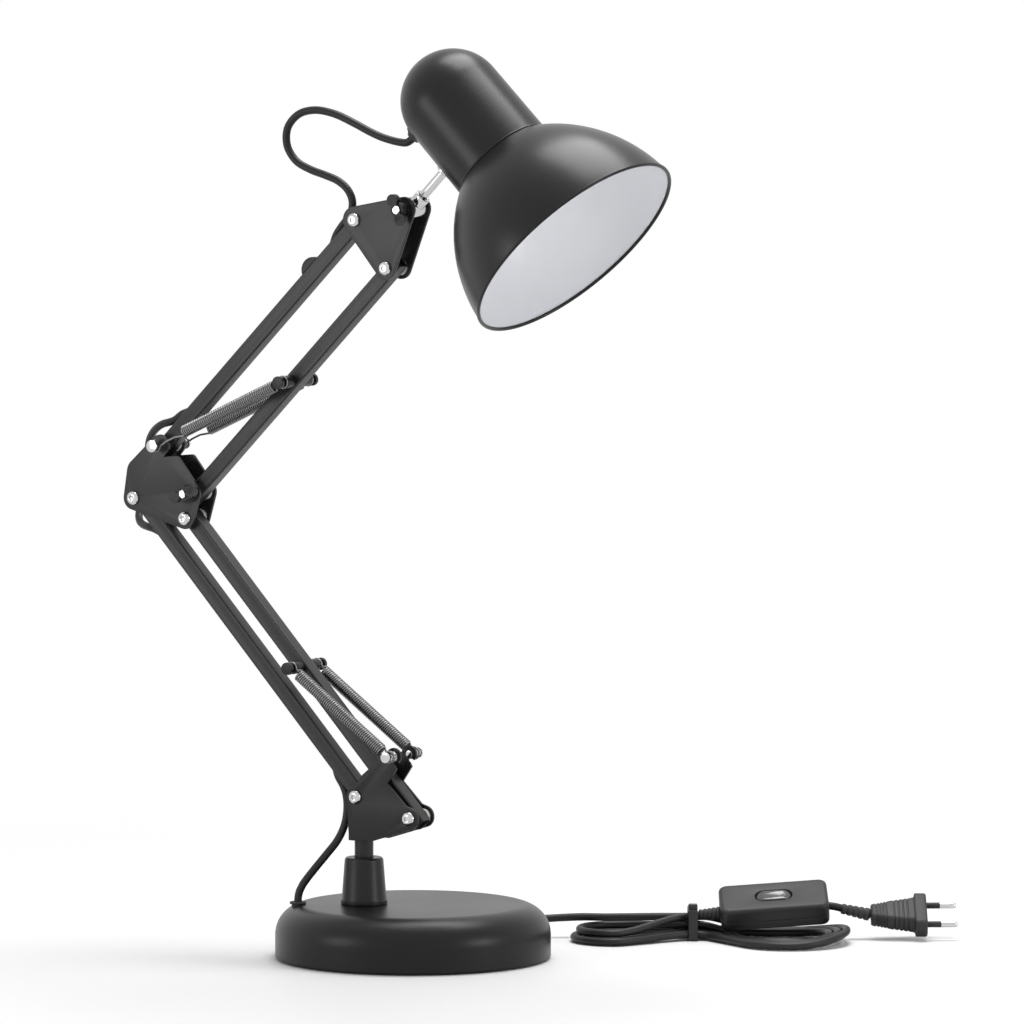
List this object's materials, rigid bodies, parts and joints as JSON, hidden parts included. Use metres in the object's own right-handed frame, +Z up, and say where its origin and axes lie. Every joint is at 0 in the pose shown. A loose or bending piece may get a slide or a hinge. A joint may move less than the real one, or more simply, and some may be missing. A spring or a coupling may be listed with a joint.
{
  "type": "swing arm desk lamp",
  "caption": "Desk lamp with a weighted round base, two sprung parallelogram arms, a tilting and swivelling bell shade, and a mains lead with an inline switch and plug.",
  "frame": {"origin": "centre of the base's underside, on the table", "axes": "+Z up; the arms' plane is parallel to XZ and the head points to +X; the wing nuts are on the -Y side"},
  "size_m": [0.4643, 0.3619, 0.5766],
  "materials": {
    "black_paint": "satin black paint",
    "chrome": "bright chrome plating",
    "zinc_steel": "zinc plated steel",
    "spring_steel": "dark drawn wire",
    "cast_iron": "raw casting",
    "foam": "fine foam",
    "black_pvc": "smooth lead sheath",
    "black_plastic": "fine moulded grain",
    "grey_plastic": "gloss",
    "nylon": "natural nylon",
    "white_holder": "gloss white",
    "brass": "plain brass"
  },
  "bodies": {
    "base": {"base_cover": "black_paint", "base_weight": "cast_iron", "base_plate": "zinc_steel", "base_pad": "foam", "base_screws": "zinc_steel", "socket": "black_paint", "socket_nut": "zinc_steel", "lead_inlet": "black_pvc", "lead_in_base": "black_pvc", "lead_outlet": "black_pvc", "lead_from_base": "black_pvc", "lead_to_switch": "black_pvc", "lead_to_plug": "black_pvc", "lead_hank": "black_pvc", "lead_tie": "black_plastic", "switch_base": "black_plastic", "switch_cover": "black_plastic", "switch_relief": "black_pvc", "plug_body": "black_plastic", "plug_pins": "chrome", "plug_relief": "black_pvc"},
    "rocker": {"switch_rocker": "grey_plastic"},
    "stem": {"stem_pin": "black_paint", "lower_bracket": "black_paint", "lower_bracket_bolts": "chrome", "lower_bracket_washers": "nylon", "hook_pin": "chrome", "lower_springs": "spring_steel", "base_lead": "black_pvc"},
    "lower_rear": {"lower_arm_rear": "black_paint", "lower_arm_lead": "black_pvc"},
    "lower_front": {"lower_arm_front": "black_paint", "lower_anchor_pin": "black_paint"},
    "elbow": {"elbow_plates": "black_paint", "elbow_bolts": "chrome", "elbow_washers": "nylon", "upper_springs": "spring_steel", "elbow_lead": "black_pvc"},
    "elbow_wing": {"elbow_wing_nut": "black_plastic"},
    "upper_rear": {"upper_arm_rear": "black_paint", "upper_arm_lead": "black_pvc", "arm_bumper": "black_pvc"},
    "upper_front": {"upper_arm_front": "black_paint", "upper_anchor_pin": "black_paint"},
    "head": {"head_plates": "black_paint", "head_bolts": "chrome", "head_washers": "nylon", "head_lead": "black_pvc"},
    "tilt_wing": {"tilt_wing_nut": "black_plastic"},
    "knuckle": {"tilt_knuckle": "chrome"},
    "shade": {"head_rod": "chrome", "rod_nut": "zinc_steel", "shade": "black_paint", "shade_grommet": "black_pvc", "shade_lead": "black_pvc", "holder_bracket": "zinc_steel", "lamp_holder": "white_holder", "holder_thread": "brass", "holder_contact": "brass"}
  },
  "joints": [
    {"name": "stem_swivel", "type": "hinge", "parent": "base", "child": "stem", "pos_m": [-0.026, -0.01688, 0.064], "axis": [0, 0, 1], "range_deg": [-100, 100], "deforming": ["base_lead"]},
    {"name": "lower_arms", "type": "hinge", "parent": "stem", "child": "lower_rear", "pos_m": [-0.026, -0.01688, 0.103], "axis": [0, -1, 0], "range_deg": [-60, 13], "deforming": ["base_lead", "lower_springs"]},
    {"name": "lower_front_arm", "type": "hinge", "parent": "stem", "child": "lower_front", "pos_m": [0.01389, -0.01688, 0.09156], "axis": [0, -1, 0], "range_deg": [-62, 15], "deforming": ["lower_springs"]},
    {"name": "elbow_turn", "type": "hinge", "parent": "lower_rear", "child": "elbow", "pos_m": [-0.1965, -0.01688, 0.28584], "axis": [0, -1, 0], "range_deg": [-15, 62], "deforming": ["elbow_lead"]},
    {"name": "upper_arms", "type": "hinge", "parent": "elbow", "child": "upper_rear", "pos_m": [-0.1757, -0.01688, 0.32044], "axis": [0, -1, 0], "range_deg": [-55, 45], "deforming": ["elbow_lead", "upper_springs"]},
    {"name": "upper_front_arm", "type": "hinge", "parent": "elbow", "child": "upper_front", "pos_m": [-0.15231, -0.01688, 0.29061], "axis": [0, -1, 0], "range_deg": [-57, 47], "deforming": ["upper_springs"]},
    {"name": "head_turn", "type": "hinge", "parent": "upper_rear", "child": "head", "pos_m": [-0.02643, -0.01688, 0.46815], "axis": [0, -1, 0], "range_deg": [-47, 57], "deforming": ["head_lead"]},
    {"name": "shade_tilt", "type": "hinge", "parent": "head", "child": "knuckle", "pos_m": [0.01087, -0.01688, 0.47555], "axis": [0, -1, 0], "range_deg": [-45, 40], "deforming": ["head_lead"]},
    {"name": "shade_swivel", "type": "hinge", "parent": "knuckle", "child": "shade", "pos_m": [0.02501, -0.01688, 0.48969], "axis": [0.7071, 0, 0.7071], "range_deg": [-80, 80], "deforming": ["head_lead"]},
    {"name": "elbow_wing_turn", "type": "hinge", "parent": "elbow", "child": "elbow_wing", "pos_m": [-0.15231, -0.03088, 0.29061], "axis": [0, -1, 0], "continuous": true},
    {"name": "tilt_wing_turn", "type": "hinge", "parent": "head", "child": "tilt_wing", "pos_m": [0.01087, -0.03088, 0.47555], "axis": [0, -1, 0], "continuous": true},
    {"name": "rocker_tilt", "type": "hinge", "parent": "base", "child": "rocker", "pos_m": [0.15078, 0.19512, 0.02474], "axis": [-0.5084, 0.7227, 0.4683], "range_deg": [-8, 8]}
  ],
  "couplings": [
    {"joint": "lower_front_arm", "follows": "lower_arms", "ratio": 1},
    {"joint": "elbow_turn", "follows": "lower_arms", "ratio": -1},
    {"joint": "upper_front_arm", "follows": "upper_arms", "ratio": 1},
    {"joint": "head_turn", "follows": "upper_arms", "ratio": -1}
  ]
}
